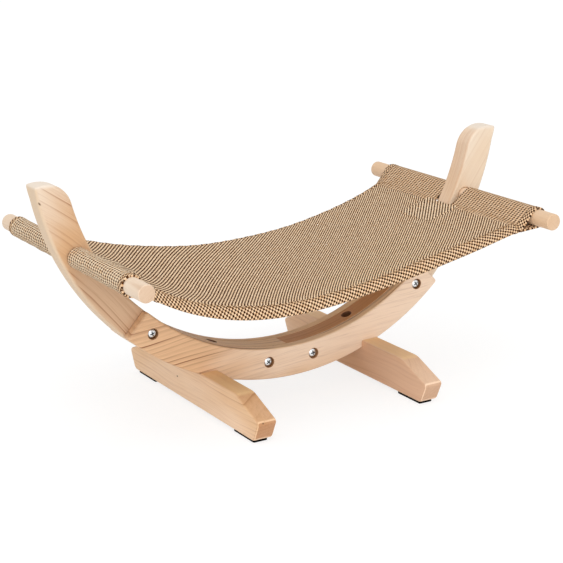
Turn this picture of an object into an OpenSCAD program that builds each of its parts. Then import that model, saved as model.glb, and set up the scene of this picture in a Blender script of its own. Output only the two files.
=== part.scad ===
// Cat hammock: a woven sling hung from two dowels on a bow-shaped wooden stand with two cross feet.
// X runs along the bow, Y from front to back, Z up. The origin is on the floor, under the middle.

/* [Bow] */
// Radius of the bow's inner edge
bow_inner_r = 306; // [280:1:340]
// Radial width of the bow's boards
bow_w = 42; // [38:1:52]
// Height of the bow's lowest point above the floor
bow_lift = 23; // [16:1:32]
// Thickness of the two arms
arm_t = 28; // [24:1:34]
// Thickness of each splice plate
plate_t = 14; // [11:1:20]
// Angle from the middle to each end of the plates
plate_angle = 43; // [41.5:0.5:48]
// Chamfer along the boards' edges
edge_c = 1.2; // [0.5:0.1:2]
// Height of the arms' tips above the floor
tip_z = 322; // [300:1:330]
// Radius of the round inner corner of each tip
tip_r = 35; // [25:1:37]
// Slope of each tip's end, down towards the outside
tip_slope = 9; // [0:1:15]

/* [Feet] */
// Distance of each foot from the middle
foot_x = 125; // [105:1:140]
// Width of a foot
foot_w = 27; // [22:1:32]
// Length of a foot at its longest
foot_l = 354; // [300:1:390]
// Length of a foot on the floor
foot_floor_l = 328; // [290:1:340]
// Length of the flat top of a foot
foot_top_l = 243; // [180:1:270]
// Height of the foot's end corner above its underside
foot_end_h = 27; // [18:1:32]
// Depth that the bow sits into the foot at the foot's middle
foot_notch_d = 6.5; // [3:0.5:9]
// Side clearance between the bow and the foot's notch
notch_play = 0.3; // [0.1:0.1:1]
// Seating gap between the bow and the notch's floor
seat_gap = 0.1; // [0.05:0.05:0.3]

/* [Pads] */
// Thickness of the rubber pads
pad_t = 4; // [2:0.5:6]
// Width of a pad
pad_w = 20; // [12:1:22]
// Length of a pad
pad_l = 50; // [30:1:70]
// Distance from the foot's lower end to the pad
pad_inset = 6; // [1:1:12]

/* [Dowels] */
// Diameter of the dowels
dowel_d = 22; // [18:0.5:25]
// Length of the dowels
dowel_l = 406; // [360:1:450]
// Angle of the dowels on the bow, from its lowest point
dowel_angle = 64; // [58:0.5:68]
// Chamfer at the ends of the dowels
dowel_c = 1.5; // [0.5:0.5:3]
// Radial play of a dowel in its arm
dowel_play = 0.3; // [0.2:0.1:0.6]

/* [Bolts] */
// Diameter of the bolts' shanks
bolt_d = 6; // [5:0.5:7]
// Diameter of the bolts' round heads
head_d = 12.4; // [10:0.1:12.8]
// Height of the bolts' heads
head_h = 4; // [3:0.5:5]
// Radial play of the shanks in the wood
bolt_play = 0.3; // [0.2:0.1:0.5]
// Depth that the heads lie below the wood
head_sink = 1.5; // [1:0.5:4]
// Diameter of the counterbores round the heads
counterbore_d = 13.6; // [13:0.1:15]
// Distance of the plate bolts from the bow's inner edge
bolt_edge = 18.5; // [17:0.5:25]
// Angle of the inner plate bolts
inner_bolt_angle = 6.1; // [4:0.1:9]
// Angle of the outer plate bolts
outer_bolt_angle = 38.6; // [36:0.1:39]
// Outside diameter of the sleeve nuts
nut_d = 8.4; // [7.8:0.1:9]
// Radial clearance of a bolt in its sleeve nut or insert
thread_gap = 0.1; // [0.05:0.05:0.2]
// Depth of the counterbores over the foot bolts
foot_counterbore = 14; // [8:1:18]
// Diameter of the washers under the foot bolts
washer_d = 12.8; // [12.6:0.1:13]
// Thickness of those washers
washer_t = 1.2; // [0.8:0.1:2]
// Diameter of the threaded inserts in the feet
insert_d = 10; // [9:0.5:11]
// Length of the threaded inserts
insert_l = 20; // [14:1:22]

/* [Sling] */
// Width of the cloth along the dowels
cloth_w = 336; // [300:1:350]
// Thickness of the woven cloth
cloth_t = 2; // [1.5:0.1:3]
// Play between a dowel and its sleeve
sleeve_play = 0.4; // [0.3:0.1:1]
// Distance from a dowel's axis to the sleeve's seam
seam_d = 28; // [24:1:34]
// Slope of the sleeves towards the bed
sleeve_slope = 15; // [8:1:30]
// Clear width between an arm's face and a sleeve's end
notch_gap = 7; // [6:1:14]
// Clear width between an arm's inner edge and the notch's end
notch_clear = 0.8; // [0.6:0.1:4]
// Distance that the cloth is pushed to the front at its right end and to the rear at its left end
cloth_skew = 3.5; // [0:0.5:4]
// Sag of the bed's edges below the seams
edge_sag = 52; // [30:1:60]
// Further sag along the middle of the bed
belly = 9; // [0:1:16]
// Place of the front edge's lowest point
low_front_x = -75; // [-90:1:60]
// Place of the rear edge's lowest point
low_rear_x = 6; // [-60:1:60]
// Width of the hem that rolls over at each edge
hem_l = 24; // [16:1:32]
// Angle that the hem rolls down
hem_roll = 82; // [20:1:90]
// Reach of the facing patch from the notch into the bed
facing_l = 46; // [20:1:60]
// Thickness of the facing patches
facing_t = 1.2; // [0.8:0.1:2]
// Overlap of a facing patch past the notch's sides
facing_side = 13; // [6:1:20]
// Gap at sewn seams
sew_gap = 0.3; // [0.1:0.1:0.4]

/* [Hidden] */

BOW_FN = 180;
BLANK_ANGLE = 120;              // how far round an arm's blank reaches before its tip is cut
ROUND_FN = 48;
PAST = 1;                       // how far a cutter runs past the face that it cuts
SAG_POWER = 2;                  // shape of the hanging curve, 2 is a parabola
LENGTH_STEPS = 30;              // facets along the bed
HEM_STEPS = 4;                  // facets round each hem
BED_ROWS = [0.45, 0.75];        // rows of facets between the notch and the hem, as shares of the flat width
FACING_STEPS = 4;               // facets each way on a facing patch
ROLL_FADE = 0.08;               // share of the half length over which the hem's roll fades to the seams

PINE = "#E0BB8F";
PALE_PINE = "#EBCFA8";
ZINC = "#C9CCCB";
RUBBER = "#1E1A17";
CLOTH = "#C9A57C";

bow_outer_r = bow_inner_r + bow_w;
bow_mid_r = bow_inner_r + bow_w / 2;
bolt_r = bow_inner_r + bolt_edge;
bow_z = bow_lift + bow_outer_r;
bow_t = arm_t + 2 * plate_t;

foot_top_z = bow_z - sqrt(pow(bow_outer_r, 2) - pow(foot_x, 2)) + foot_notch_d;
foot_h = foot_top_z - pad_t;
foot_bolt_angle = atan(foot_x / (bow_z - pad_t - foot_h / 2));

plate_bolt_angles = [-outer_bolt_angle, -inner_bolt_angle, inner_bolt_angle, outer_bolt_angle];
head_seat_y = bow_t / 2 - head_sink - head_h;
sleeve_nut_l = head_seat_y + arm_t / 4;
plate_bolt_l = head_seat_y + arm_t / 2;
foot_seat_r = bow_inner_r + foot_counterbore;
foot_bolt_l = bow_outer_r - foot_seat_r + insert_l - washer_t;

dowel_x = bow_mid_r * sin(dowel_angle);
dowel_z = bow_z - bow_mid_r * cos(dowel_angle);

sleeve_r = dowel_d / 2 + sleeve_play;
seam_x = dowel_x - seam_d * cos(sleeve_slope);
seam_z = dowel_z - seam_d * sin(sleeve_slope);
notch_y = arm_t / 2 + notch_gap;
notch_slant = 3;
notch_z = seam_z - 5;
notch_x = sqrt(pow(bow_inner_r, 2) - pow(bow_z - notch_z, 2)) - notch_clear;
flat_y = cloth_w / 2 - hem_l;

// A place on the bow: its angle from the lowest point and its radius, with +Z facing the bow's centre
module on_bow(angle, radius) {
    translate([radius * sin(angle), 0, bow_z - radius * cos(angle)]) rotate([0, -angle, 0]) children();
}

// A length of bent board with chamfered edges, between two angles and two depths
module bent_board(from_angle, to_angle, front_y, rear_y) {
    section = [[bow_inner_r, rear_y - edge_c], [bow_inner_r + edge_c, rear_y],
               [bow_outer_r - edge_c, rear_y], [bow_outer_r, rear_y - edge_c],
               [bow_outer_r, front_y + edge_c], [bow_outer_r - edge_c, front_y],
               [bow_inner_r + edge_c, front_y], [bow_inner_r, front_y + edge_c]];
    translate([0, 0, bow_z]) rotate([90, 0, 0]) rotate([0, 0, from_angle - 90])
        rotate_extrude(angle = to_angle - from_angle, $fn = BOW_FN)
            polygon([for (p = section) [p[0], -p[1]]]);
}

// What is cut off an arm's tip: the board above the sloping end, and the corner outside its round
module tip_waste() {
    round_z = tip_z - tip_r;
    round_x = sqrt(pow(bow_inner_r + tip_r, 2) - pow(bow_z - round_z, 2));
    meet_angle = atan2(round_x, bow_z - round_z) + tip_slope;
    meet = (tip_r + bow_w) * [-sin(meet_angle), cos(meet_angle)];
    reach = arm_t / 2 + PAST;
    translate([round_x, 0, round_z]) rotate([0, tip_slope, 0]) {
        rotate([90, 0, 0]) linear_extrude(2 * reach, center = true) difference() {
            polygon([[0, 0], meet, [meet[0], tip_r + PAST], [0, tip_r + PAST]]);
            circle(tip_r, $fn = BOW_FN);
        }
        translate([-bow_outer_r, -reach, tip_r]) cube([2 * bow_outer_r, 2 * reach, bow_outer_r]);
    }
}

// Bore through the bow's boards at an angle and a radius
module cross_bore(angle, r, d) {
    on_bow(angle, r) rotate([90, 0, 0])
        cylinder(d = d, h = bow_t + 2 * PAST, center = true, $fn = ROUND_FN);
}

// The right-hand arm; the left one is its mirror image
module arm() {
    color(PINE) difference() {
        bent_board(0, BLANK_ANGLE, -arm_t / 2, arm_t / 2);
        tip_waste();
        cross_bore(dowel_angle, bow_mid_r, dowel_d + 2 * dowel_play);
        for (a = [inner_bolt_angle, outer_bolt_angle]) cross_bore(a, bolt_r, nut_d + 2 * bolt_play);
        on_bow(foot_bolt_angle, bow_outer_r + PAST)
            cylinder(d = bolt_d + 2 * bolt_play, h = bow_w + 2 * PAST, $fn = ROUND_FN);
        on_bow(foot_bolt_angle, foot_seat_r)
            cylinder(d = counterbore_d, h = foot_counterbore + PAST, $fn = ROUND_FN);
    }
}

module right_arm() { arm(); }
module left_arm() { mirror([1, 0, 0]) arm(); }

// Splice plate on one face of the bow; side is -1 at the front and 1 at the rear
module plate(side, hole_d) {
    near_y = side * arm_t / 2;
    far_y = side * bow_t / 2;
    color(PINE) difference() {
        bent_board(-plate_angle, plate_angle, min(near_y, far_y), max(near_y, far_y));
        for (a = plate_bolt_angles) {
            cross_bore(a, bolt_r, hole_d + 2 * bolt_play);
            on_bow(a, bolt_r) translate([0, side * head_seat_y, 0]) rotate([-90 * side, 0, 0])
                cylinder(d = counterbore_d, h = bow_t, $fn = ROUND_FN);
        }
    }
}

module front_plate() { plate(-1, bolt_d); }
module rear_plate() { plate(1, nut_d); }

// Foot: a beam with long chamfers on top, ends that lean in to the floor, and a seat for the bow
module foot(x) {
    side = [[-foot_floor_l / 2, 0], [foot_floor_l / 2, 0], [foot_l / 2, foot_end_h],
            [foot_top_l / 2, foot_h], [-foot_top_l / 2, foot_h], [-foot_l / 2, foot_end_h]];
    color(PALE_PINE) difference() {
        translate([x - foot_w / 2, 0, pad_t]) rotate([90, 0, 90]) linear_extrude(foot_w) polygon(side);
        translate([0, 0, bow_z]) rotate([90, 0, 0])
            cylinder(r = bow_outer_r + seat_gap, h = bow_t + 2 * notch_play, center = true, $fn = BOW_FN);
        on_bow(sign(x) * foot_bolt_angle, bow_outer_r + insert_l + seat_gap)
            cylinder(d = insert_d + 2 * seat_gap, h = insert_l + foot_h, $fn = ROUND_FN);
    }
}

module left_foot() { foot(-foot_x); }
module right_foot() { foot(foot_x); }

// Dowel with chamfered ends
module dowel(x) {
    half = dowel_l / 2;
    color(PALE_PINE) translate([x, 0, dowel_z]) rotate([90, 0, 0]) rotate_extrude($fn = ROUND_FN)
        polygon([[0, -half], [dowel_d / 2 - dowel_c, -half], [dowel_d / 2, dowel_c - half],
                 [dowel_d / 2, half - dowel_c], [dowel_d / 2 - dowel_c, half], [0, half]]);
}

module left_dowel() { dowel(-dowel_x); }
module right_dowel() { dowel(dowel_x); }

// Bolt with its head's seat at z = 0, shank down, and a cross recess in the rounded head
module cross_bolt(shank_l) {
    crown = head_h / 2;
    recess_l = head_d * 0.55;
    recess_w = head_d * 0.12;
    difference() {
        rotate_extrude($fn = ROUND_FN)
            polygon([[0, -shank_l], [bolt_d / 2 - crown / 2, -shank_l], [bolt_d / 2, crown / 2 - shank_l],
                     [bolt_d / 2, 0], [head_d / 2, 0], [head_d / 2, head_h - crown],
                     [head_d / 2 - crown, head_h], [0, head_h]]);
        for (a = [45, 135])
            rotate([0, 0, a]) translate([-recess_l / 2, -recess_w / 2, head_h - crown])
                cube([recess_l, recess_w, head_h]);
    }
}

module plate_bolts() {
    color(ZINC) for (a = plate_bolt_angles)
        on_bow(a, bolt_r) translate([0, -head_seat_y, 0]) rotate([90, 0, 0]) cross_bolt(plate_bolt_l);
}

// Sleeve nuts: round heads in the rear plate with a bored sleeve that takes the bolt
module plate_sleeve_nuts() {
    bore_r = bolt_d / 2 + thread_gap;
    crown = head_h / 2;
    color(ZINC) for (a = plate_bolt_angles)
        on_bow(a, bolt_r) translate([0, head_seat_y, 0]) rotate([-90, 0, 0]) rotate_extrude($fn = ROUND_FN)
            polygon([[bore_r, -sleeve_nut_l], [nut_d / 2, -sleeve_nut_l], [nut_d / 2, 0], [head_d / 2, 0],
                     [head_d / 2, head_h - crown], [head_d / 2 - crown, head_h], [0, head_h],
                     [0, crown], [bore_r, crown]]);
}

module foot_bolts() {
    color(ZINC) for (s = [-1, 1])
        on_bow(s * foot_bolt_angle, foot_seat_r - washer_t) cross_bolt(foot_bolt_l);
}

module ring(outer_d, inner_d, h) {
    difference() {
        cylinder(d = outer_d, h = h, $fn = ROUND_FN);
        translate([0, 0, -PAST]) cylinder(d = inner_d, h = h + 2 * PAST, $fn = ROUND_FN);
    }
}

module foot_washers() {
    color(ZINC) for (s = [-1, 1])
        on_bow(s * foot_bolt_angle, foot_seat_r) ring(washer_d, bolt_d + 2 * thread_gap, washer_t);
}

module foot_inserts() {
    color(ZINC) for (s = [-1, 1])
        on_bow(s * foot_bolt_angle, bow_outer_r + insert_l + seat_gap)
            ring(insert_d, bolt_d + 2 * thread_gap, insert_l);
}

// Rubber pad under one end of a foot
module pad(x, end) {
    far_y = foot_floor_l / 2 - pad_inset;
    color(RUBBER) translate([x - pad_w / 2, end > 0 ? far_y - pad_l : -far_y, 0]) cube([pad_w, pad_l, pad_t]);
}

module left_front_pad() { pad(-foot_x, -1); }
module left_rear_pad() { pad(-foot_x, 1); }
module right_front_pad() { pad(foot_x, -1); }
module right_rear_pad() { pad(foot_x, 1); }

// How far the cloth is pushed back at a share t of the way from the middle to a seam
function askew(t) = -cloth_skew * t;

// Point at an angle and a distance from the right-hand dowel's axis, seen from the front
function round_dowel(angle, r) = [dowel_x + r * cos(angle), dowel_z + r * sin(angle)];

// Sleeve of cloth round a dowel, drawn to a flat neck at its seam; side is -1 at the left, 1 at the right
module sleeve(side, from_y, to_y) {
    outer_r = sleeve_r + cloth_t;
    wrap = acos(sleeve_r / seam_d);
    seam_angle = 180 + sleeve_slope;
    neck_x = seam_x + sew_gap;
    color(CLOTH) mirror([side < 0 ? 1 : 0, 0, 0])
        translate([0, to_y + askew(side), 0]) rotate([90, 0, 0]) linear_extrude(to_y - from_y) difference() {
            union() {
                translate([dowel_x, dowel_z]) circle(outer_r, $fn = ROUND_FN);
                polygon([[dowel_x, dowel_z],
                         round_dowel(seam_angle - wrap, outer_r),
                         [neck_x, seam_z + cloth_t], [neck_x, seam_z - cloth_t],
                         round_dowel(seam_angle + wrap, outer_r)]);
            }
            translate([dowel_x, dowel_z]) circle(sleeve_r, $fn = ROUND_FN);
        }
}

module left_front_sleeve() { sleeve(-1, -cloth_w / 2, -notch_y); }
module left_rear_sleeve() { sleeve(-1, notch_y, cloth_w / 2); }
module right_front_sleeve() { sleeve(1, -cloth_w / 2, -notch_y); }
module right_rear_sleeve() { sleeve(1, notch_y, cloth_w / 2); }

// Where the bed hangs, at a share t of the way from the middle to a seam and a distance y from the bow
function low_place(y) = (low_front_x + low_rear_x) / 2 + (low_rear_x - low_front_x) / 2 * y / (cloth_w / 2);
function skew(y) = let (share = low_place(y) / seam_x) -share / (1 - share * share);
function bed_sag(y) = edge_sag + belly * (1 - pow(min(abs(y) / flat_y, 1), 2));
function bed_z(t, y) = seam_z - bed_sag(y) * (1 - pow(abs(t + skew(y) * (1 - t * t)), SAG_POWER));

// The hem rolls down by this angle, fading to nothing at the seams
function roll_at(t) = hem_roll * min(1, (1 - abs(t)) / ROLL_FADE);
function rolled(s, angle) = angle < 1 ? [s, 0]
    : let (r = hem_l * 180 / (PI * angle), a = angle * s / hem_l) [r * sin(a), r * (cos(a) - 1)];

// Point of the bed at share t and flat distance v from the bow, lifted off the cloth's middle by h
function bed_point(t, v, h) = let (
    over = max(abs(v) - flat_y, 0),
    turn = over > 0 ? roll_at(t) * over / hem_l : 0,
    curl = rolled(over, roll_at(t)),
    y = min(abs(v), flat_y) + curl[0] + h * sin(turn),
    end_x = abs(v) <= notch_y ? notch_x : seam_x)
    [t * end_x, sign(v) * y + askew(t), bed_z(t * end_x / seam_x, v) + curl[1] + h * cos(turn)];

// Closed sheet between two grids of points, given as rows of equal length
module sheet(top, bottom) {
    rows = len(top);
    cols = len(top[0]);
    count = rows * cols;
    function at(i, j) = i * cols + j;
    quads = [for (i = [0:rows - 2], j = [0:cols - 2])
             [at(i, j), at(i + 1, j), at(i + 1, j + 1), at(i, j + 1)]];
    rim = concat([for (i = [0:rows - 2]) [at(i, 0), at(i + 1, 0)]],
                 [for (j = [0:cols - 2]) [at(0, j + 1), at(0, j)]],
                 [for (i = [0:rows - 2]) [at(i + 1, cols - 1), at(i, cols - 1)]],
                 [for (j = [0:cols - 2]) [at(rows - 1, j), at(rows - 1, j + 1)]]);
    faces = concat([for (q = quads) each [[q[2], q[1], q[0]], [q[3], q[2], q[0]]]],
                   [for (q = quads) each [[q[0] + count, q[1] + count, q[2] + count],
                                          [q[0] + count, q[2] + count, q[3] + count]]],
                   [for (e = rim) each [[e[0], e[1], e[1] + count], [e[0], e[1] + count, e[0] + count]]]);
    polyhedron([for (row = concat(top, bottom)) each row], faces);
}

module sling_bed() {
    side = concat([0, notch_y, notch_y + notch_slant], [for (share = BED_ROWS) flat_y * share],
                  [for (k = [0:HEM_STEPS]) flat_y + hem_l * k / HEM_STEPS]);
    across = concat([for (k = [len(side) - 1:-1:1]) -side[k]], side);
    along = [for (i = [0:LENGTH_STEPS]) 2 * i / LENGTH_STEPS - 1];
    color(CLOTH) sheet([for (t = along) [for (v = across) bed_point(t, v, cloth_t / 2)]],
                       [for (t = along) [for (v = across) bed_point(t, v, -cloth_t / 2)]]);
}

// Facing patch sewn over the raw edge of a notch; side is -1 at the left and 1 at the right
module notch_facing(side) {
    half = notch_y + facing_side;
    near = (notch_x - sew_gap) / seam_x;
    far = near - facing_l / seam_x;
    low = cloth_t / 2 + sew_gap;
    function place(i, j, h) = let (
        t = side * (far + (near - far) * i / FACING_STEPS),
        v = half * (2 * j / FACING_STEPS - 1))
        [t * seam_x, v + askew(t), bed_z(t, v) + h];
    order = side > 0 ? [0:FACING_STEPS] : [FACING_STEPS:-1:0];
    color(CLOTH) sheet([for (i = order) [for (j = [0:FACING_STEPS]) place(i, j, low + facing_t)]],
                       [for (i = order) [for (j = [0:FACING_STEPS]) place(i, j, low)]]);
}

module left_notch_facing() { notch_facing(-1); }
module right_notch_facing() { notch_facing(1); }

left_arm();
right_arm();
front_plate();
rear_plate();
left_foot();
right_foot();
left_dowel();
right_dowel();
plate_bolts();
plate_sleeve_nuts();
foot_bolts();
foot_washers();
foot_inserts();
left_front_pad();
left_rear_pad();
right_front_pad();
right_rear_pad();
sling_bed();
left_front_sleeve();
left_rear_sleeve();
right_front_sleeve();
right_rear_sleeve();
left_notch_facing();
right_notch_facing();
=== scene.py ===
# %% [markdown]
# # A cat hammock, piece by piece
# The real hammock is a bow of pine boards on two cross feet. A loose round bar goes through each arm of
# the bow, and a woven sling is sewn round the two bars. The boards, bars and bolts arrive here as a
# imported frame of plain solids, in metres, with X along the bow, Y from front to back and Z up. This
# lesson gives each solid its eased edges, grain, weave and stitches, and leaves the motion to the frame.

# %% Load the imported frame
import math

import bmesh
import bpy
import numpy as np
from mathutils import Euler, Matrix, Vector


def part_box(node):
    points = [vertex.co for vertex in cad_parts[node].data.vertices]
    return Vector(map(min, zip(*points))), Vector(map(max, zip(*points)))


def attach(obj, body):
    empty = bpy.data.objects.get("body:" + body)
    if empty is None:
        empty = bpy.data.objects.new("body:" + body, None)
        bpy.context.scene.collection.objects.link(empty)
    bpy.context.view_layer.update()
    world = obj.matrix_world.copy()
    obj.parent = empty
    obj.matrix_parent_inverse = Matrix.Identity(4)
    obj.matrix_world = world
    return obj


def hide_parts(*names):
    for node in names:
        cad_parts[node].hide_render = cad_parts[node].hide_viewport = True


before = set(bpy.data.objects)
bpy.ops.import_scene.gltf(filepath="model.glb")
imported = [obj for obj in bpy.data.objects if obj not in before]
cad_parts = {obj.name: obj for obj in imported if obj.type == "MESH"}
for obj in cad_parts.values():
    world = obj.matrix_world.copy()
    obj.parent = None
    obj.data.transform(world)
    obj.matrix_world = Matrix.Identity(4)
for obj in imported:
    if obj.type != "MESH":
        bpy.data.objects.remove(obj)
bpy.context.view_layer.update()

MM = 0.001

# %% [markdown]
# ## The camera
# The place of the camera was worked out from the ends of the bars, the bolts and the pads in the
# photograph. Setting it first means that every later piece can be compared with the photograph at once.
# The lens follows from the focal length in pixels, because the picture is square and as wide as the
# sensor.

# %% Camera at the photograph's place
PHOTO_PX = 563
FOCAL_PX = 1622.5
SENSOR_MM = 36
CAMERA_PLACE = (-1.0573, -1.7720, 0.7401)
CAMERA_YAW = 30.888
CAMERA_PITCH = 16.042
CAMERA_ROLL = -0.843

camera_data = bpy.data.cameras.new("camera")
camera_data.sensor_width = SENSOR_MM
camera_data.lens = SENSOR_MM * FOCAL_PX / PHOTO_PX
camera_data.clip_start = 0.05
camera = bpy.data.objects.new("camera", camera_data)
aim = (Matrix.Rotation(-math.radians(CAMERA_YAW), 4, "Z")
       @ Matrix.Rotation(math.radians(90 - CAMERA_PITCH), 4, "X")
       @ Matrix.Rotation(math.radians(CAMERA_ROLL), 4, "Z"))
camera.matrix_world = Matrix.Translation(CAMERA_PLACE) @ aim
bpy.context.collection.objects.link(camera)
bpy.context.scene.camera = camera
print("lens:", round(camera_data.lens, 1), "mm")

# %% [markdown]
# ## The sizes that everything follows
# Two circles and one height give the whole bow, and the boards, bars and cloth all take their places from
# it. What the frame knows is read from the frame, and the rest repeats the solid model's own sizes.

# %% Sizes of the bow, from the frame and the photograph
BOW_INNER_R = 306 * MM
BOW_OUTER_R = 348 * MM
BOLT_R = BOW_INNER_R + 18.5 * MM
TIP_R = 35 * MM
TIP_SLOPE = 9
PLATE_ANGLE = 43
BOLT_ANGLES = (-38.6, -6.1, 6.1, 38.6)
POCKET_R = 6.8 * MM
HEAD_SINK = 5.5 * MM
FOOT_POCKET = 14 * MM
arm_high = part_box("right_arm")[1]
plate_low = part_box("front_plate")[0]
arm_half = arm_high[1]
bow_half = -plate_low[1]
bow_z = plate_low[2] + BOW_OUTER_R
tip_z = arm_high[2]
bar_low, bar_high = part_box("right_dowel")
bar_x = (bar_low[0] + bar_high[0]) / 2
bar_z = (bar_low[2] + bar_high[2]) / 2
bar_r = (bar_high[0] - bar_low[0]) / 2
bore_r = bar_r + 0.3 * MM
print("bow centre", round(bow_z, 4), "bar at", round(bar_x, 4), round(bar_z, 4), "radius", round(bar_r, 4))

# %% [markdown]
# ## Writing nodes as expressions
# Materials and repeated pieces are node trees. Drawing them by hand takes many lines, so one class adds
# nodes to a tree, and a second one wraps a number that varies over a surface. Its operators add Math
# nodes, so that a formula such as 1 - mask reads as it would on paper.

# %% A tree of nodes and the numbers in it
def pick(sockets, key):
    """The socket with that identifier, name or place in the row."""
    if isinstance(key, int):
        return sockets[key]
    for socket in sockets:
        if key == socket.identifier:
            return socket
    return sockets[key]


class Nodes:
    """A node tree that is filled by calls."""

    def __init__(self, tree):
        self.tree = tree
        tree.nodes.clear()

    def node(self, kind, sockets=None, **settings):
        """A new node with its settings and with what goes into its sockets."""
        made = self.tree.nodes.new(kind)
        for key, value in settings.items():
            setattr(made, key, value)
        for key, value in (sockets or {}).items():
            self.feed(pick(made.inputs, key), value)
        return made

    def feed(self, socket, value):
        if isinstance(value, Value):
            self.tree.links.new(value.socket, socket)
        else:
            socket.default_value = value

    def out(self, made, key=0):
        return Value(self, pick(made.outputs, key))

    def get(self, kind, sockets=None, key=0, **settings):
        """What comes out of a new node."""
        return self.out(self.node(kind, sockets, **settings), key)


def maths(operation, swapped=False):
    """A method that adds a Math node."""
    def method(self, *others):
        terms = (self, *others)[::-1 if swapped else 1]
        return self.nodes.get("ShaderNodeMath", dict(enumerate(terms)), operation=operation)

    return method


class Value:
    """What comes out of a socket; the operators are for numbers."""

    def __init__(self, nodes, socket):
        self.nodes = nodes
        self.socket = socket

    __add__ = __radd__ = maths("ADD")
    __sub__ = maths("SUBTRACT")
    __rsub__ = maths("SUBTRACT", swapped=True)
    __mul__ = __rmul__ = maths("MULTIPLY")
    __truediv__ = maths("DIVIDE")
    __mod__ = maths("FLOORED_MODULO")
    __lt__ = maths("LESS_THAN")
    floor = maths("FLOOR")
    root = maths("SQRT")
    size = maths("ABSOLUTE")


# %% [markdown]
# ## A finish
# A finish is a material with one Principled shader. The helper class adds what several finishes share:
# noise, mixing two colours, a soft step between two limits, and relief from a height. Colours are written
# as they look on a screen, in six hex digits, and turned into the linear values that the shader wants.

# %% Shared parts of every finish
SKIN = 0.2 * MM


def screen_colour(code):
    """The linear colour of six hex digits."""
    parts = [int(code[k:k + 2], 16) / 255 for k in (0, 2, 4)]
    return tuple(p / 12.92 if p <= 0.04045 else ((p + 0.055) / 1.055) ** 2.4 for p in parts) + (1.0,)


class Finish(Nodes):
    """A material with a Principled shader."""

    def __init__(self, name):
        self.material = bpy.data.materials.new(name)
        self.material.use_nodes = True
        super().__init__(self.material.node_tree)
        self.shader = self.node("ShaderNodeBsdfPrincipled")
        self.end = self.node("ShaderNodeOutputMaterial", {"Surface": self.out(self.shader)})

    def set(self, **sockets):
        for key, value in sockets.items():
            self.feed(pick(self.shader.inputs, key.replace("_", " ")), value)

    def place(self):
        return self.get("ShaderNodeTexCoord", key="Object")

    def facing(self):
        return self.get("ShaderNodeTexCoord", key="Normal")

    def split(self, vector):
        made = self.node("ShaderNodeSeparateXYZ", {"Vector": vector})
        return [self.out(made, axis) for axis in "XYZ"]

    def vector(self, x, y, z):
        return self.get("ShaderNodeCombineXYZ", {"X": x, "Y": y, "Z": z})

    def rotated(self, vector, rotation, **settings):
        return self.get("ShaderNodeMapping", {"Vector": vector, "Rotation": rotation}, **settings)

    def noise(self, vector, scale=1.0, detail=2.0):
        return self.get("ShaderNodeTexNoise", {"Vector": vector, "Scale": scale, "Detail": detail}, "Fac")

    def chance(self, vector):
        return self.get("ShaderNodeTexWhiteNoise", {"Vector": vector}, "Value", noise_dimensions="3D")

    def mix(self, share, *colours):
        """Between two colours, each from a socket or in six hex digits."""
        first, second = [screen_colour(c) if isinstance(c, str) else c for c in colours]
        return self.get("ShaderNodeMix", {"Factor_Float": share, "A_Color": first, "B_Color": second},
                        "Result_Color", data_type="RGBA")

    def step(self, value, low, high):
        return self.get("ShaderNodeMapRange", {"Value": value, "From Min": low, "From Max": high},
                        interpolation_type="SMOOTHSTEP")

    def relief(self, height, depth, strength):
        return self.get("ShaderNodeBump", {"Height": height, "Distance": depth, "Strength": strength})


# %% [markdown]
# ## Pine
# The boards are sanded pine. A tree grows a pale soft layer and a thin darker hard one each year, so sawn
# pine shows lines where a board cuts those layers. A picture of grain would have to be unwrapped on every
# board, so the finish repeats how the wood grows instead: rings round a heart that wanders, cut wherever
# the board happens to be. The same rings then run round the edges and show as arcs on the cut ends, as
# they should.

# %% Finish: pine with its rings
FIBRE = 1 / (1.1 * MM)
STREAK = 1 / (4.2 * MM)
LATE_WOOD = (0.66, 0.94)
OUTER_BAND = 4.5 * MM
PAINTED_INSIDE_UPPER_SHARE = 0.22
TIP_LIGHT_TONE = "E8D9C8"
KNOT_TONE = "5A3A1C"


def face_tones(f, colour, line, outer_tone, inner, painted_inside_share, side_shade, top):
    """Painted light and shade on single faces, the bow's inside, a foot's top and sides and an arm's tip,
    and a paler band along an arm's outside.
    """
    nx, _, nz = f.split(f.facing())
    px, py, pz = f.split(f.place())
    hub = pz - bow_z
    radius = (px * px + hub * hub).root()
    # Painted light and shade on the bow's inside, which lies under the sling: dark painted shade on the
    # right arm, and a paler warm painted light on the plates and left arm. It is strongest low down, and
    # its streaks follow the grain.
    if inner:
        towards_hub = (px * nx + hub * nz) / radius * -1
        share = painted_inside_share - f.step(pz, 0.16, 0.22) * (painted_inside_share - PAINTED_INSIDE_UPPER_SHARE)
        share = f.step(towards_hub, 0.35, 0.9) * share
        colour = f.mix(share, colour, inner)
        bands = f.noise(f.vector(px * 4, py * 230, 0.0))
        colour = f.mix(f.step(bands, 0.52, 0.62) * share, colour, line)
    # Painted light: upward faces are mixed towards a paler tone, as if lit from above.
    if top:
        colour = f.mix(f.step(nz, 0.93, 0.99) * 0.6, colour, top)
    # Painted shade: faces that point along X are darkened on their front half.
    if side_shade:
        front_half = 1 - f.step(py, 0.0, 0.05)
        colour = f.mix(f.step(nx.size(), 0.6, 0.9) * front_half * 0.3, colour, side_shade)
    if outer_tone:
        # A paler band along the arm's outer edge.
        outside = f.step(radius, BOW_OUTER_R - OUTER_BAND, BOW_OUTER_R - 0.2 * OUTER_BAND)
        # Painted light: near the tip's height the arm is made paler, as its top catches more light.
        tip = f.step(pz, tip_z - 1.3 * OUTER_BAND, tip_z - 0.2 * OUTER_BAND)
        colour = f.mix(outside, colour, outer_tone)
        colour = f.mix(tip, colour, TIP_LIGHT_TONE)
    return colour


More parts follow.
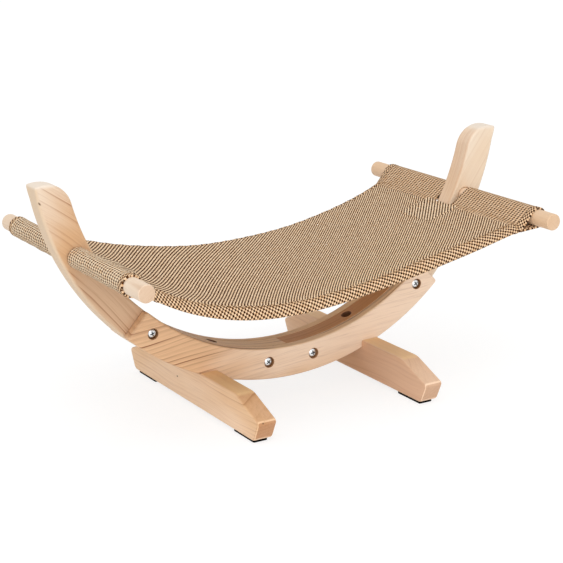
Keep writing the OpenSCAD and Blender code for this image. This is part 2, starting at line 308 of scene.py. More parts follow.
def knots(f, colour, grain, turn, marks):
    """Small dark knots, each with its place, its length along the grain and its width."""
    for place, length, width in marks:
        middle = Euler(turn).to_matrix() @ Vector(place)
        apart = [(axis - at) / size for axis, at, size in zip(grain, middle, (length, width, width))]
        far = (apart[0] * apart[0] + apart[1] * apart[1] + apart[2] * apart[2]).root()
        colour = f.mix(1 - f.step(far, 0.5, 1.15), colour, KNOT_TONE)
    return colour


def pine(name, pale, warm, line, grain_tilt=0.0, along_y=False, bend=(0.0, 0.0), lean=(0.0, 0.0),
         plain_from=None, heart=(0.03, -0.4), ring=6.5 * MM, contrast=1.0, end_tone=0.2, outer_tone=None,
         inner=None, painted_inside_share=0.55, side_shade=None, top=None, marks=()):
    """Pine whose grain lies along X, tilted up by grain_tilt degrees, or along Y.

    The grain curves away from a place by bend, the wood warms from a place by lean, and the lines thin out
    past plain_from. heart is the tree's middle, seen from the end, and ring the width of a year.
    """
    f = Finish(name)
    turn = (0, math.radians(grain_tilt), math.radians(-90) if along_y else 0)
    grain = f.split(f.rotated(f.place(), turn))
    x, y, z = grain
    from_bend = x - bend[1]
    wander = f.noise(f.vector(x * 4, y * 10, z * 10)) - 0.5
    across = y + wander * 0.014 - heart[0]
    up = z + from_bend * from_bend * bend[0] + wander * 0.020 - heart[1]
    reach = (across * across + up * up).root()
    count = reach / ring + f.noise(f.vector(x * 2.5, y * 32, z * 32)) * 0.8
    year = count.floor()
    share = count - year
    luck = f.chance(f.vector(year, 0.5, 0.5))
    fade = f.step(f.noise(f.vector(x * 4, y * 9, year * 0.7)), 0.36, 0.62)
    late = f.step(share, *LATE_WOOD) * (1 - f.step(share, 0.95, 0.995)) * fade * (luck * luck * 0.7 + 0.14)
    fibres = f.noise(f.vector(x * 26, reach * FIBRE, y * FIBRE))
    streaks = f.noise(f.vector(x * 9, reach * STREAK, y * STREAK))
    blotch = f.noise(f.vector(x * 5, y * 16, z * 16))
    warmth = f.step(blotch + (x - lean[1]) * lean[0], 0.30, 0.72)
    # Painted light: past the bend point the wood is made paler, which lifts the sling's shade on the arm's
    # low part.
    if outer_tone:
        warmth = warmth * (1 - f.step(from_bend, -0.03, 0.03) * 0.35)
    lines = (warmth * 0.7 + 0.3) * contrast
    if plain_from is not None:
        lines = lines * (1 - f.step(x, plain_from - 0.10, plain_from) * 0.85)
    if outer_tone:
        side_on = f.split(f.facing())[1]
        lines = lines * (side_on * side_on)
    fine = min(contrast, 1.1)
    colour = f.mix(warmth, pale, warm)
    colour = f.mix(f.step(share, 0.15, 0.92) * luck * 0.16 * lines, colour, line)
    colour = f.mix(late * lines, colour, line)
    colour = f.mix(f.step(streaks, 0.50, 0.78) * 0.20 * fine, colour, line)
    colour = f.mix(f.step(fibres, 0.50, 0.80) * 0.22 * fine, colour, line)
    end_on = f.split(f.rotated(f.facing(), turn, vector_type="NORMAL"))[0].size()
    slanting = f.step(end_on, 0.08, 0.36) * (1 - f.step(end_on, 0.42, 0.55)) * 0.5
    pores = f.noise(f.vector(x * 4, y * 700, z * 700))
    end_grain = (slanting + f.step(end_on, 0.78, 0.88)) * (pores * 0.4 + 0.8)
    colour = f.mix(end_grain * end_tone, colour, line)
    colour = face_tones(f, colour, line, outer_tone, inner, painted_inside_share, side_shade, top)
    colour = knots(f, colour, grain, turn, marks)
    f.set(Base_Color=colour, Roughness=0.52 + fibres * 0.14 - late * 0.08,
          Normal=f.relief(fibres * 0.5 + late * 0.5, SKIN, 0.3))
    return f.material


# The tones given for the bow's inside are painted light and shade, not the wood's own colour.
front_pine = pine("front_plate_pine", "FADFC5", "EAC096", "8E5128", grain_tilt=5, lean=(-1.5, 0.0),
                  plain_from=-0.06, heart=(0.05, -0.38), contrast=1.9, end_tone=0.12, inner="F9D6A6")
rear_pine = pine("rear_plate_pine", "F6D6B6", "EAC198", "94592F", heart=(-0.06, -0.46), end_tone=0.12,
                 inner="F9D6A6")
left_arm_pine = pine("left_arm_pine", "E6D0B8", "D4A97E", "98582A", grain_tilt=-43, bend=(0.7, -0.36),
                     lean=(6.0, -0.43), heart=(0.04, -0.30), contrast=1.3, end_tone=0.0, outer_tone="E0C6A8",
                     inner="FBDCB0", marks=[((-0.340, -0.0138, 0.3009), 4.4 * MM, 1.6 * MM)])
right_arm_pine = pine("right_arm_pine", "EEDCC6", "E2C09A", "B98352", grain_tilt=56, heart=(-0.02, -0.60),
                      ring=9.5 * MM, contrast=0.6, end_tone=0.1, outer_tone="EAD9C4", inner="C07820",
                      painted_inside_share=0.75)
# The feet's pale top tone is painted light on their top faces.
foot_pine = pine("left_foot_pine", "FADABA", "EDC294", "A6652E", along_y=True, heart=(0.09, -0.11),
                 ring=5.2 * MM, contrast=0.9, end_tone=0.68, top="FFD9A0",
                 marks=[((-0.1385, 0.0351, 0.0308), 2.0 * MM, 1.2 * MM),
                        ((-0.1310, -0.1755, 0.0300), 3.0 * MM, 1.2 * MM)])
# The right foot's dark side tone is painted shade on its sides.
far_foot_pine = pine("right_foot_pine", "FADABC", "EDC299", "A0622F", along_y=True, heart=(-0.02, 0.16),
                     ring=5.6 * MM, contrast=0.55, end_tone=0.5, side_shade="B8640E", top="FFD9A0")
bar_pine = pine("left_bar_pine", "EFDCC6", "E3C8AC", "BE9470", along_y=True, heart=(0.18, 0.05),
                ring=4.2 * MM, contrast=0.8, end_tone=0.42)
far_bar_pine = pine("right_bar_pine", "EBD0B4", "DFBC98", "BE9470", along_y=True, heart=(-0.16, 0.07),
                    ring=4.8 * MM, contrast=0.5, end_tone=0.2)
# Dark wood for the pockets' walls: painted shade in the recesses round the bolt heads.
pocket_pine = pine("pocket_pine", "B2835A", "94683F", "5E3C22", along_y=True, contrast=0.4)
deep_shade_pine = pine("deep_pocket_pine", "8C5E3A", "6C452A", "4A2C18", along_y=True, contrast=0.4)
print("pine finishes:", len([m for m in bpy.data.materials if m.name.endswith("pine")]))

# %% [markdown]
# ## Eased boards
# Every board is cut to an outline and then has its edges rounded with a small router bit, which is why
# they catch a pale line of light. A Bevel modifier stumbles on the thin triangles of a cut solid, so the
# rounding is built in: the outline is drawn once, and rings of points step in from it near both faces.

# %% Outlines with round corners
EDGE_EASE = 2.8 * MM
ARM_EASE = 4.4 * MM
CLAMPED_EASE = 1.2 * MM
HOLE_EASE = 1.8 * MM
EASE_STEPS = 5
CORNER = 4.0 * MM
FOOT_CORNER = 6.0 * MM
TIP_CORNER = 3.0 * MM
TIP_SHARE = 0.42
ARC_STEP = 2.5 * MM
SHARP = 35


def smooth(value, low, high):
    """0 below low, 1 above high, and a soft step between."""
    share = np.clip((value - low) / (high - low), 0, 1)
    return share * share * (3 - 2 * share)


def arc(centre, radius, start, end):
    """Points on an arc between two angles in degrees, counted from the first axis to the second."""
    count = max(16, int(abs(math.radians(end - start)) * radius / ARC_STEP))
    turns = np.radians(np.linspace(start, end, count + 1))
    return [(centre[0] + radius * math.cos(a), centre[1] + radius * math.sin(a)) for a in turns]


def walk(points, k, way, distance):
    """The place that far along an outline from point k, and the point before which it lies."""
    here = points[k]
    while True:
        after = points[(k + way) % len(points)]
        span = np.linalg.norm(after - here)
        if span >= distance:
            return here + (after - here) * distance / span, (k + way) % len(points)
        distance -= span
        here = after
        k += way


def round_corners(points, radius, left_sharp=()):
    """A closed outline with its sharp corners replaced by curves that start that radius away."""
    points = np.array(points)
    ahead = np.roll(points, -1, 0) - points
    heading = np.arctan2(ahead[:, 1], ahead[:, 0])
    bend = np.abs((heading - np.roll(heading, 1) + math.pi) % (2 * math.pi) - math.pi)
    curves = {}
    dropped = set()
    for k in set(np.flatnonzero(bend > math.radians(15))) - set(left_sharp):
        start, first = walk(points, k, -1, radius)
        end, last = walk(points, k, 1, radius)
        share = np.linspace(0, 1, 9)[:, None]
        curves[k] = (1 - share) ** 2 * start + 2 * share * (1 - share) * points[k] + share ** 2 * end
        dropped.update(range(first + 1, first + 1 + (k - first - 1) % len(points)))
        dropped.update((k + 1 + j) % len(points) for j in range((last - k - 1) % len(points)))
    kept = [curves[k] if k in curves else points[k:k + 1] for k in range(len(points)) if k not in dropped]
    return np.concatenate(kept)


def outward(loop):
    """How far each point of a loop moves for an offset of 1 to the right of travel."""
    ahead = np.roll(loop, -1, 0) - loop
    ahead = ahead / np.linalg.norm(ahead, axis=1)[:, None]
    right = np.stack([ahead[:, 1], -ahead[:, 0]], 1)
    mean = right + np.roll(right, 1, 0)
    return mean / (1 + (right * np.roll(right, 1, 0)).sum(1))[:, None]


# %% A board from its outline
def link(name, mesh, *materials):
    """A new object at the origin."""
    for material in materials:
        mesh.materials.append(material)
    piece = bpy.data.objects.new(name, mesh)
    bpy.context.collection.objects.link(piece)
    return piece


def finish_mesh(bm, name, sharp=SHARP):
    """A plain mesh with smooth faces and sharp edges past an angle."""
    bmesh.ops.remove_doubles(bm, verts=bm.verts, dist=1e-6)
    bmesh.ops.recalc_face_normals(bm, faces=bm.faces)
    mesh = bpy.data.meshes.new(name)
    bm.to_mesh(mesh)
    bm.free()
    mesh.polygons.foreach_set("use_smooth", np.ones(len(mesh.polygons), dtype=bool))
    mesh.set_sharp_from_angle(angle=math.radians(sharp))
    return mesh


def join_rings(bm, rows):
    """Faces between neighbouring rings of points."""
    for near, far in zip(rows, rows[1:]):
        for k in range(len(near)):
            after = (k + 1) % len(near)
            bm.faces.new((near[k], near[after], far[after], far[k]))


def eased_board(name, loops, low, high, place, eases=(EDGE_EASE,)):
    """A slab between two depths, from an anticlockwise outline and clockwise holes, each with an easing."""
    bm = bmesh.new()
    bend = np.radians(np.linspace(0, 90, EASE_STEPS + 1))
    rims = ([], [])
    for loop, ease in zip(loops, eases):
        loop = np.array(loop)
        count = len(loop)
        ease = np.broadcast_to(ease, count)
        rows = []
        for a in bend:
            inner = loop - outward(loop) * (ease * (1 - math.sin(a)))[:, None]
            depths = ease * (1 - math.cos(a))
            rows.append([place(p[0], p[1], low + depth) for p, depth in zip(inner, depths)])
            rows.append([place(p[0], p[1], high - depth) for p, depth in zip(inner, depths)])
        rows = [[bm.verts.new(p) for p in row] for row in rows[0::2] + rows[:0:-2]]
        join_rings(bm, rows)
        for rim, row in zip(rims, (rows[0], rows[-1])):
            rim.extend(bm.edges.get((row[k], row[(k + 1) % count])) for k in range(count))
    for rim in rims:
        bmesh.ops.triangle_fill(bm, use_beauty=True, edges=rim)
    return finish_mesh(bm, name)


def upright(a, b, depth):
    """Outline in X and Z, thickness in Y."""
    return (a, depth, b)


def cut(piece, *cutters):
    """Takes the cutters' shapes out of a piece; the faces that they leave have the cutters' finish."""
    for cutter in cutters:
        tool = piece.modifiers.new("cut", "BOOLEAN")
        tool.object = cutter
        tool.solver = "EXACT"
        tool.material_mode = "TRANSFER"
    graph = bpy.context.evaluated_depsgraph_get()
    mesh = bpy.data.meshes.new_from_object(piece.evaluated_get(graph), depsgraph=graph)
    mesh.name = piece.name
    piece.modifiers.clear()
    piece.data = mesh
    mesh.set_sharp_from_angle(angle=math.radians(SHARP))
    for cutter in cutters:
        bpy.data.objects.remove(cutter)


def carved(mesh, material, *cutters):
    """A template's mesh with the cutters' shapes taken out."""
    piece = link(mesh.name, mesh, material)
    cut(piece, *cutters)
    mesh = piece.data
    bpy.data.objects.remove(piece)
    return mesh


def even_shading(piece):
    """Flat faces shade flat right up to their rounded edges."""
    tool = piece.modifiers.new("even shading", "WEIGHTED_NORMAL")
    tool.keep_sharp = True
    tool.weight = 100


# %% Turned shapes
def turned_rows(bm, profile, steps):
    """Rings of points about Z, joined by faces."""
    turns = [2 * math.pi * k / steps for k in range(steps)]
    rows = [[bm.verts.new((r * math.cos(a), r * math.sin(a), h)) for a in turns] for r, h in profile]
    join_rings(bm, rows)
    return rows


def turned(name, profile, steps=48):
    """A solid of revolution about Z from (radius, height) points, from bottom to top."""
    bm = bmesh.new()
    rows = turned_rows(bm, profile, steps)
    for end in (0, -1):
        if profile[end][0] > 0:
            bm.faces.new(rows[end])
    return finish_mesh(bm, name)


# %% [markdown]
# ## The bow
# Two solid arms meet under the middle and are clamped between two curved plates, one at the front and one
# at the back. The arms and plates share the same two circles, so all four outlines come from the same few
# sizes. The holes for the bars are part of the arms' outlines, which eases their rims too. The pockets
# for the bolt heads are cut with a turned tool whose mouth flares a little, as a countersink leaves it.

# %% Outlines of the arms and plates
def on_bow(radius, angle):
    """A place on the bow, by its angle from the lowest point."""
    return (radius * math.sin(math.radians(angle)), bow_z - radius * math.cos(math.radians(angle)))


def bow_arc(radius, start, end):
    return arc((0, bow_z), radius, start - 90, end - 90)


def arm_outline():
    """The right arm: up its outer edge, over the sloping tip and down its inner edge."""
    round_z = tip_z - TIP_R
    round_x = math.sqrt((BOW_INNER_R + TIP_R) ** 2 - (bow_z - round_z) ** 2)
    inner_end = math.degrees(math.atan2(round_x, bow_z - round_z))
    slope = math.radians(TIP_SLOPE)
    level = TIP_R + (round_z - bow_z) * math.cos(slope) + round_x * math.sin(slope)
    outer_end = math.degrees(math.acos(-level / BOW_OUTER_R)) - TIP_SLOPE
    points = bow_arc(BOW_OUTER_R, 0, outer_end)
    points += arc((round_x, round_z), TIP_R, 90 - TIP_SLOPE, 90 + inner_end)
    points += bow_arc(BOW_INNER_R, inner_end, 0)[1:]
    return round_corners(points, TIP_CORNER, left_sharp=(0, len(points) - 1))


def arm_easing(loop):
    """The rounding along an arm: small between the plates and soft where the arm stands free."""
    loop = np.array(loop)
    angles = np.degrees(np.arctan2(np.abs(loop[:, 0]), bow_z - loop[:, 1]))
    corner = loop[np.argmax(np.abs(loop[:, 0]))]
    from_corner = np.linalg.norm(loop - corner, axis=1)
    free = ARM_EASE * (TIP_SHARE + (1 - TIP_SHARE) * smooth(from_corner, 3 * MM, 18 * MM))
    return CLAMPED_EASE + (free - CLAMPED_EASE) * smooth(angles, PLATE_ANGLE, PLATE_ANGLE + 5)


def plate_outline():
    points = bow_arc(BOW_OUTER_R, -PLATE_ANGLE, PLATE_ANGLE)
    points += bow_arc(BOW_INNER_R, PLATE_ANGLE, -PLATE_ANGLE)
    return round_corners(points, CORNER)


def mirrored(loop):
    return np.array(loop)[::-1] * (-1, 1)


bar_hole = arc((bar_x, bar_z), bore_r, 360, 0)[:-1]
right_loops = [arm_outline(), bar_hole]
left_loops = [mirrored(loop) for loop in right_loops]


def board(name, loops, low, high, finish, *eases):
    """One board of the bow, between two depths."""
    return link(name, eased_board(name, loops, low, high, upright, eases), finish)


right_arm = board("right_arm_board", right_loops, -arm_half, arm_half, right_arm_pine,
                  arm_easing(right_loops[0]), HOLE_EASE)
left_arm = board("left_arm_board", left_loops, -arm_half, arm_half, left_arm_pine,
                 arm_easing(left_loops[0]), HOLE_EASE)
front_plate = board("front_plate_board", [plate_outline()], -bow_half, -arm_half, front_pine, EDGE_EASE)
rear_plate = board("rear_plate_board", [plate_outline()], arm_half, bow_half, rear_pine, EDGE_EASE)
print("points round an arm:", len(right_loops[0]), "and round a plate:", len(plate_outline()))

# %% Pockets for the bolt heads
FLARE = 0.7 * MM
TOOL_PAST = 4 * MM
head_seat_y = bow_half - HEAD_SINK


def pocket_tool(depth):
    """A cutter with its floor at z = 0 and the wood's surface at z = depth."""
    profile = [(POCKET_R, 0), (POCKET_R, depth - FLARE), (POCKET_R + FLARE * 0.3, depth - FLARE * 0.4),
               (POCKET_R + FLARE, depth), (POCKET_R + FLARE, depth + TOOL_PAST)]
    return turned("pocket_tool", profile)


def placed(mesh, matrix, material=pocket_pine):
    """A cutter with its place in its mesh."""
    mesh.transform(matrix)
    return link(mesh.name, mesh, material)


def across_bow(angle, side):
    """A frame on a plate's pocket floor, with Z out of the wood; side is -1 at the front, 1 at the back."""
    x, z = on_bow(BOLT_R, angle)
    return Matrix.Translation((x, side * head_seat_y, z)) @ Matrix.Rotation(-side * math.pi / 2, 4, "X")


foot_low, foot_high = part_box("right_foot")
foot_x = (foot_low[0] + foot_high[0]) / 2
foot_bolt_angle = math.degrees(math.atan(foot_x / (bow_z - (foot_low[2] + foot_high[2]) / 2)))


def into_bow(angle, radius):
    """A frame on the bow at an angle and radius, with Z towards the bow's centre."""
    x, z = on_bow(radius, angle)
    return Matrix.Translation((x, 0, z)) @ Matrix.Rotation(-math.radians(angle), 4, "Y")


for plate, side in ((front_plate, -1), (rear_plate, 1)):
    cut(plate, *[placed(pocket_tool(HEAD_SINK), across_bow(a, side)) for a in BOLT_ANGLES])
for arm, sign in ((left_arm, -1), (right_arm, 1)):
    floor = into_bow(sign * foot_bolt_angle, BOW_INNER_R + FOOT_POCKET)
    cut(arm, placed(pocket_tool(FOOT_POCKET), floor, deep_shade_pine))
for piece, node in ((left_arm, "left_arm"), (right_arm, "right_arm"), (front_plate, "front_plate"),
                    (rear_plate, "rear_plate")):
    even_shading(piece)
    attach(piece, "stand")
    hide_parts(node)
    print(piece.name, len(piece.data.polygons), "faces")

# %% [markdown]
# ## The feet
# Each foot is a beam across the bow, with long slopes at both ends of its top and ends that lean in to
# the floor. The bow is let into it by a few millimetres. The slab helper does the beam, with its outline
# in Y and Z, and the seat is cut with a slice of the bow's own outer circle, so the two always fit.

# %% Two cross feet
FOOT_FLOOR_L = 328 * MM
FOOT_TOP_L = 243 * MM
FOOT_END_H = 27 * MM
SEAT_GAP = 0.1 * MM
SEAT_PLAY = 0.3 * MM


def foot_outline():
    floor_z = foot_low[2]
    half = foot_high[1]
    right = [(FOOT_FLOOR_L / 2, floor_z), (half, floor_z + FOOT_END_H), (FOOT_TOP_L / 2, foot_high[2])]
    points = [(-FOOT_FLOOR_L / 2, floor_z)] + right + [(-a, b) for a, b in right[:0:-1]]
    return round_corners(points, FOOT_CORNER)


def sideways(a, b, depth):
    """Outline in Y and Z, thickness in X."""
    return (depth, a, b)


def seat_tool():
    """The bow's outer circle, as thick as the whole bow."""
    half = bow_half + SEAT_PLAY
    profile = [(0, -half), (BOW_OUTER_R + SEAT_GAP, -half), (BOW_OUTER_R + SEAT_GAP, half), (0, half)]
    lying = Matrix.Translation((0, 0, bow_z)) @ Matrix.Rotation(math.pi / 2, 4, "X")
    return placed(turned("seat_tool", profile, 360), lying, foot_pine)


for name, finish in (("left_foot", foot_pine), ("right_foot", far_foot_pine)):
    low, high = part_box(name)
    beam = eased_board(name + "_beam", [foot_outline()], low[0], high[0], sideways)
    foot = link(beam.name, beam, finish)
    cut(foot, seat_tool())
    even_shading(foot)
    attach(foot, "stand")
    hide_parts(name)
    print(foot.name, len(foot.data.polygons), "faces")

# %% [markdown]
# ## The bars
# The bars are bought round stock with lightly rounded ends, pushed through the arms by hand. Each one is
# turned from a profile, and rides on its own body, because it slides out when the sling is taken off.

# %% Two round bars
END_ROUND = 1.6 * MM


def bar_profile(length):
    bend = np.radians(np.linspace(0, 90, 5))
    top = [(bar_r - END_ROUND * (1 - math.cos(a)), length / 2 - END_ROUND * (1 - math.sin(a)))
           for a in bend]
    return [(r, -h) for r, h in reversed(top)] + top


for name, finish in (("left_dowel", bar_pine), ("right_dowel", far_bar_pine)):
    low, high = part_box(name)
    mesh = turned(name + "_bar", bar_profile(high[1] - low[1]), 64)
    middle = Matrix.Translation(((low[0] + high[0]) / 2, 0, bar_z)) @ Matrix.Rotation(math.pi / 2, 4, "X")
    mesh.transform(middle)
    bar = link(name + "_bar", mesh, finish)
    even_shading(bar)
    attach(bar, name)
    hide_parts(name)
    print(bar.name, [round(c, 4) for c in low], [round(c, 4) for c in high])

# %% [markdown]
# ## Zinc and rubber
# The bolts are bright zinc-plated steel, so they are metal with a thin, faintly cloudy skin. The pads are
# plain black rubber with a fine moulded grain.

# %% Finishes: zinc plate and rubber
def zinc():
    f = Finish("zinc_plate")
    cloud = f.noise(f.place(), 420.0, 3.0)
    colour = f.mix(cloud, "FBFCFC", "DDE2E4")
    f.set(Base_Color=colour, Metallic=1.0, Roughness=cloud * 0.22 + 0.18)
    return f.material


def rubber():
    f = Finish("pad_rubber")
    grain = f.noise(f.place(), 1400.0)
    dust = f.noise(f.place(), 60.0, 3.0)
    colour = f.mix(f.step(dust, 0.45, 0.8), "0C0805", "17110D")
    f.set(Base_Color=colour, Roughness=grain * 0.1 + 0.85, Specular_IOR_Level=0.12,
          Normal=f.relief(grain, SKIN, 0.5))
    return f.material


# The dark finish left in the heads' cross recesses is painted shade.
def slot_shade():
    f = Finish("slot_shade")
    f.set(Base_Color=screen_colour("3C464E"), Metallic=0.6, Roughness=0.6)
    return f.material


zinc_plate = zinc()
painted_slot_shade = slot_shade()
pad_rubber = rubber()
print("finishes:", zinc_plate.name, painted_slot_shade.name, pad_rubber.name)

# %% [markdown]
# ## Placing what repeats
# Bolts, nuts, washers, pads and stitches are one shape many times over. Geometry Nodes put a template on
# points that carry the direction it faces and how far it is turned. The tree ends by making the copies
# real and giving them their material, and the result is kept as a plain mesh.

# %% A tree that sets a template on points
def new_tree(name, *more):
    """A geometry tree with a mesh, a template, a material and more inputs, and its first node."""
    tree = bpy.data.node_groups.new(name, "GeometryNodeTree")
    for label, kind in (("Geometry", "Geometry"), ("Template", "Object"), ("Material", "Material"), *more):
        tree.interface.new_socket(label, in_out="INPUT", socket_type="NodeSocket" + kind)
    tree.interface.new_socket("Geometry", in_out="OUTPUT", socket_type="NodeSocketGeometry")
    nodes = Nodes(tree)
    return nodes, nodes.node("NodeGroupInput")


def end_tree(nodes, start, points, turn):
    """Copies of the template on the points, made real, in their material."""
    shape = nodes.get("GeometryNodeObjectInfo", {"Object": nodes.out(start, "Template")}, "Geometry")
    copies = nodes.get("GeometryNodeInstanceOnPoints",
                       {"Points": points, "Instance": shape, "Rotation": turn})
    real = nodes.get("GeometryNodeRealizeInstances", {"Geometry": copies})
    plain = nodes.get("GeometryNodeInputMaterialIndex") < 0.5
    dressed = nodes.get("GeometryNodeSetMaterial",
                        {"Geometry": real, "Selection": plain, "Material": nodes.out(start, "Material")})
    nodes.node("NodeGroupOutput", {"Geometry": dressed})


def field(nodes, name, kind):
    return nodes.get("GeometryNodeInputNamedAttribute", {"Name": name}, "Attribute", data_type=kind)


def point_tree():
    nodes, start = new_tree("template on points")
    facing = nodes.get("FunctionNodeAlignRotationToVector",
                       {"Vector": field(nodes, "facing", "FLOAT_VECTOR")}, axis="Z")
    spin = nodes.get("FunctionNodeAxisAngleToRotation",
                     {"Axis": (0, 0, 1), "Angle": field(nodes, "spin", "FLOAT")})
    both = nodes.get("FunctionNodeRotateRotation", {"Rotation": facing, "Rotate By": spin},
                     rotation_space="LOCAL")
    end_tree(nodes, start, nodes.out(start, "Geometry"), both)
    return nodes.tree


def line_tree():
    nodes, start = new_tree("template along lines", ("Pitch", "Float"))
    curve = nodes.get("GeometryNodeMeshToCurve", {"Mesh": nodes.out(start, "Geometry")})
    even = nodes.get("GeometryNodeResampleCurve", {"Curve": curve, "Length": nodes.out(start, "Pitch")},
                     mode="LENGTH")
    along = nodes.get("FunctionNodeAlignRotationToVector",
                      {"Vector": nodes.get("GeometryNodeInputTangent")}, axis="X")
    upward = nodes.get("FunctionNodeAlignRotationToVector",
                       {"Rotation": along, "Vector": field(nodes, "facing", "FLOAT_VECTOR")},
                       axis="Z", pivot_axis="X")
    end_tree(nodes, start, even, upward)
    return nodes.tree


ON_POINTS = point_tree()
ALONG_LINES = line_tree()
print("nodes in the trees:", len(ON_POINTS.nodes), len(ALONG_LINES.nodes))

# %% Growing a piece from a tree
def seeds(name, points, facing, spin=None, lines=()):
    """A mesh of points, with lines between some of them, that carries directions and turns."""
    mesh = bpy.data.meshes.new(name)
    mesh.from_pydata([tuple(p) for p in points], list(lines), [])
    mesh.attributes.new("facing", "FLOAT_VECTOR", "POINT").data.foreach_set("vector", np.ravel(facing))
    if spin is not None:
        mesh.attributes.new("spin", "FLOAT", "POINT").data.foreach_set("value", np.ravel(spin))
    return mesh


def grow(name, tree, mesh, template, material, sizes=None):
    """The tree's result on a mesh of seeds, as a plain mesh."""
    shape = link(name + "_template", template)
    piece = link(name, mesh, material)
    tool = piece.modifiers.new("grow", "NODES")
    tool.node_group = tree
    wanted = dict(sizes or {}, Template=shape, Material=material)
    for item in tree.interface.items_tree:
        if item.in_out == "INPUT" and item.name in wanted:
            tool[item.identifier] = wanted[item.name]
    graph = bpy.context.evaluated_depsgraph_get()
    grown = bpy.data.meshes.new_from_object(piece.evaluated_get(graph), depsgraph=graph)
    piece.modifiers.clear()
    piece.data = grown
    grown.name = name
    bpy.data.objects.remove(shape)
    print(name, len(grown.polygons), "faces")
    return piece


# %% [markdown]
# ## Bolts, nuts and washers
# Four bolts with domed cross heads hold the plates, and screw into sleeve nuts from the back. Two longer
# ones go down through the bow into the feet. The heads sit at the bottom of their pockets. Each template
# is turned, and the cross is cut with two tapered wedges. Every bolt stops at its own angle, as it does
# when it is tightened.

# %% Templates for the metal
HEAD_R = 6.2 * MM
HEAD_H = 4.0 * MM
BRIM = 0.42
SHANK_R = 3.0 * MM
POINT_L = 0.8 * MM
NUT_R = 4.2 * MM
SLOT_L = 1.25 * HEAD_R
SLOT_W = 1.9 * MM
SLOT_H = 4.6 * MM
SLOT_TAPER = (0.7, 0.62)
WASHER_C = 0.25 * MM


def wedge(angle):
    """A tapered bar for cutting one slot of a head's cross."""
    bm = bmesh.new()
    bmesh.ops.create_cube(bm, size=1.0)
    for v in bm.verts:
        shorter, narrower = SLOT_TAPER if v.co.z < 0 else (1.0, 1.0)
        v.co = (v.co.x * SLOT_L * shorter, v.co.y * SLOT_W * narrower, HEAD_H + v.co.z * SLOT_H)
    bm.transform(Matrix.Rotation(math.radians(angle), 4, "Z"))
    return link("wedge", finish_mesh(bm, "wedge"), painted_slot_shade)


def cross_head(name, shank_r, shank_l):
    """A domed head with its seat at z = 0 and its shank below, with a cross cut in it."""
    bend = np.radians(np.linspace(90, 0, 9))
    dome = [(HEAD_R * math.sin(a), HEAD_H * (BRIM + (1 - BRIM) * math.cos(a))) for a in bend]
    shank = [(shank_r * 0.8, -shank_l), (shank_r, POINT_L - shank_l), (shank_r, 0)]
    return carved(turned(name, shank + [(HEAD_R, 0)] + dome, 40), zinc_plate, wedge(0), wedge(90))


def washer(outer_r, inner_r, height):
    c = WASHER_C
    profile = [(inner_r, c), (inner_r + c, 0), (outer_r - c, 0), (outer_r, c), (outer_r, height - c),
               (outer_r - c, height), (inner_r + c, height), (inner_r, height - c), (inner_r, c)]
    bm = bmesh.new()
    turned_rows(bm, profile, 40)
    return finish_mesh(bm, "washer")


# %% Bolts in the plates and feet
BOLT_SPINS = (0.3, 0.75, 0.15, 0.55)
FOOT_BOLT_SPINS = (0.4, 0.9)
bolt_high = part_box("plate_bolts")[1]
nut_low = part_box("plate_sleeve_nuts")[0]
WASHER_T = 1.2 * MM
WASHER_R = 6.4 * MM
WASHER_PLAY = 0.1 * MM
INSERT_L = 20 * MM


def metal(name, template, frames, spins):
    """The template on each frame's origin, facing along the frame's Z."""
    points = [place.translation for place in frames]
    facing = [place.col[2][:3] for place in frames]
    return grow(name, ON_POINTS, seeds(name, points, facing, spins), template, zinc_plate)


def over_feet(lift):
    """Frames on the bow over the feet, that much nearer its centre than the pockets' floors."""
    return [into_bow(sign * foot_bolt_angle, BOW_INNER_R + FOOT_POCKET - lift) for sign in (-1, 1)]


plate_bolts = metal("plate_bolt_set", cross_head("plate_bolt", SHANK_R, bolt_high[1] + head_seat_y),
                    [across_bow(angle, -1) for angle in BOLT_ANGLES], BOLT_SPINS)
sleeve_nuts = metal("sleeve_nut_set", cross_head("sleeve_nut", NUT_R, head_seat_y - nut_low[1]),
                    [across_bow(angle, 1) for angle in BOLT_ANGLES], BOLT_SPINS)
foot_shank = BOW_OUTER_R - BOW_INNER_R - FOOT_POCKET + INSERT_L
foot_bolts = metal("foot_bolt_set", cross_head("foot_bolt", SHANK_R, foot_shank), over_feet(WASHER_T),
                   FOOT_BOLT_SPINS)
foot_washers = metal("foot_washer_set", washer(WASHER_R, SHANK_R + WASHER_PLAY, WASHER_T), over_feet(0),
                     FOOT_BOLT_SPINS)
for piece, node in ((plate_bolts, "plate_bolts"), (sleeve_nuts, "plate_sleeve_nuts"),
                    (foot_bolts, "foot_bolts"), (foot_washers, "foot_washers")):
    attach(piece, "stand")
    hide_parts(node)
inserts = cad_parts["foot_inserts"].data.materials
inserts.clear()
inserts.append(zinc_plate)

# %% [markdown]
# ## Rubber pads
# A black pad is stuck under each end of the feet. The template is a thin block with rounded corners and a
# few grooves across its underside for grip, and the same tree sets it on four points.

# %% Four pads
PAD_CORNER = 2.5 * MM
PAD_EASE = 0.4 * MM
GROOVES = 7
GROOVE_R = 0.7 * MM
pad_low, pad_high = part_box("left_front_pad")
pad_size = [high - low for low, high in zip(pad_low, pad_high)]


